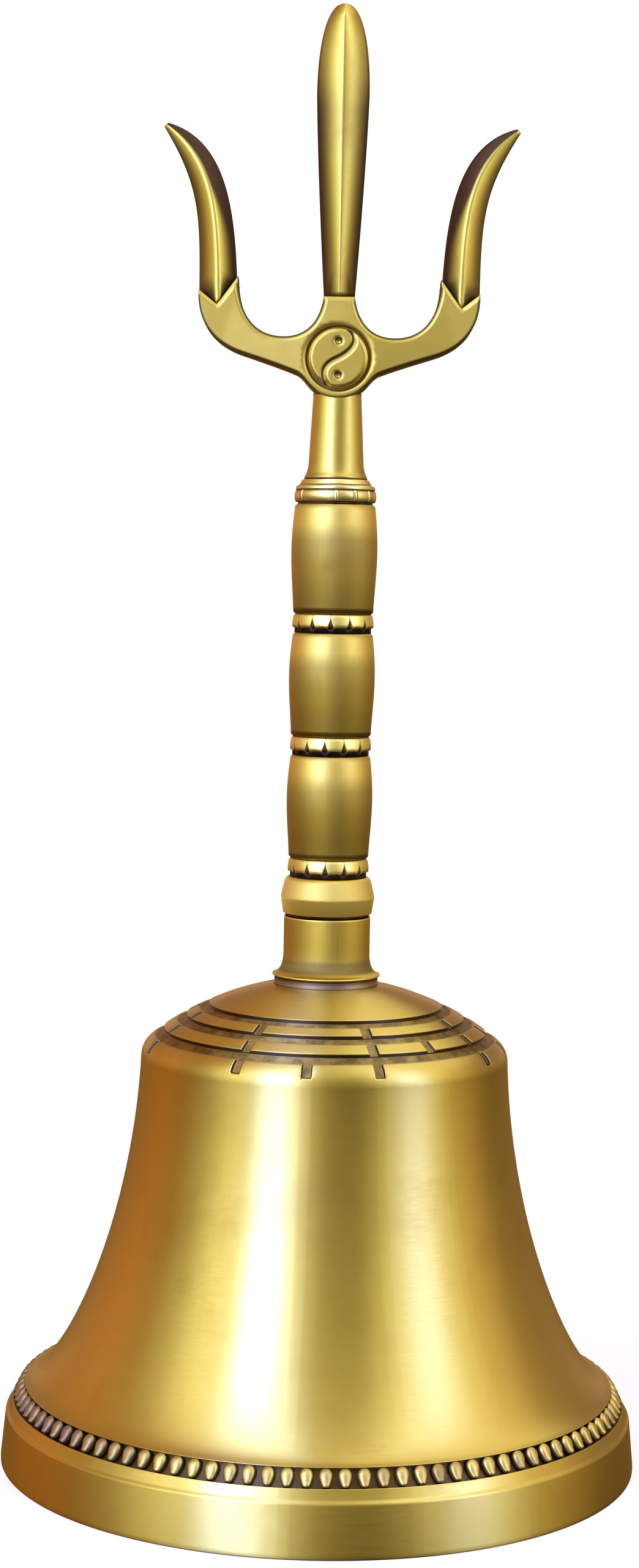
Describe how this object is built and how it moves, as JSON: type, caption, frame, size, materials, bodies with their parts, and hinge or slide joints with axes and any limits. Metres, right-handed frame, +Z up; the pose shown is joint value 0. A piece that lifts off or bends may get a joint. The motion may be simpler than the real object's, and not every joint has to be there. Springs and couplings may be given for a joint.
{
  "type": "hand bell",
  "caption": "Brass ritual hand bell with a flared, beaded bell, a trigram-banded crown, a bamboo-jointed grip, a three-pronged head with a yin-yang boss, and a free-swinging clapper inside.",
  "frame": {"origin": "centre of the rim that the bell stands on, at the height of its lowest face", "axes": "+Z up along the bell's axis, -Y towards the viewer of the picture, +X to the right; the trident lies in the XZ plane"},
  "size_m": [0.096, 0.096, 0.218],
  "materials": {
    "bell_brass": "satin, brushed round the bell, dark patina in the cut pattern and the bead channel",
    "fitting_brass": "satin, dark in the recesses",
    "grip_brass": "satin, shaded darker towards the lower end of each barrel",
    "trident_brass": "matt satin with dark outlines",
    "blade_brass": "satin ridge with brown patina on the edges",
    "dark_brass": "dark patina",
    "inner_brass": "plain turned",
    "steel": "zinc plated, dull"
  },
  "bodies": {
    "bell": {"bell_body": "bell_brass", "crown_spacer": "dark_brass", "handle_socket": "fitting_brass", "socket_collar": "fitting_brass", "lower_ring": "fitting_brass", "lower_barrel": "grip_brass", "middle_ring": "fitting_brass", "middle_barrel": "grip_brass", "upper_ring": "fitting_brass", "upper_barrel": "grip_brass", "top_collar": "fitting_brass", "trident_fork": "trident_brass", "centre_blade": "blade_brass", "left_blade": "blade_brass", "right_blade": "blade_brass", "front_medallion": "trident_brass", "back_medallion": "trident_brass", "tie_rod": "steel", "crown_washer": "steel", "crown_nut": "steel", "hanger_cap": "inner_brass"},
    "hanger": {"clapper_hanger": "inner_brass"},
    "clapper": {"clapper_rod": "inner_brass", "clapper_ball": "inner_brass"}
  },
  "joints": [
    {"name": "hanger_swivel", "type": "hinge", "parent": "bell", "child": "hanger", "pos_m": [0, 0, 0.0595], "axis": [0, 0, 1], "continuous": true},
    {"name": "clapper_swing", "type": "hinge", "parent": "hanger", "child": "clapper", "pos_m": [0, 0, 0.0539], "axis": [1, 0, 0], "range_deg": [-37.7, 37.7]}
  ]
}
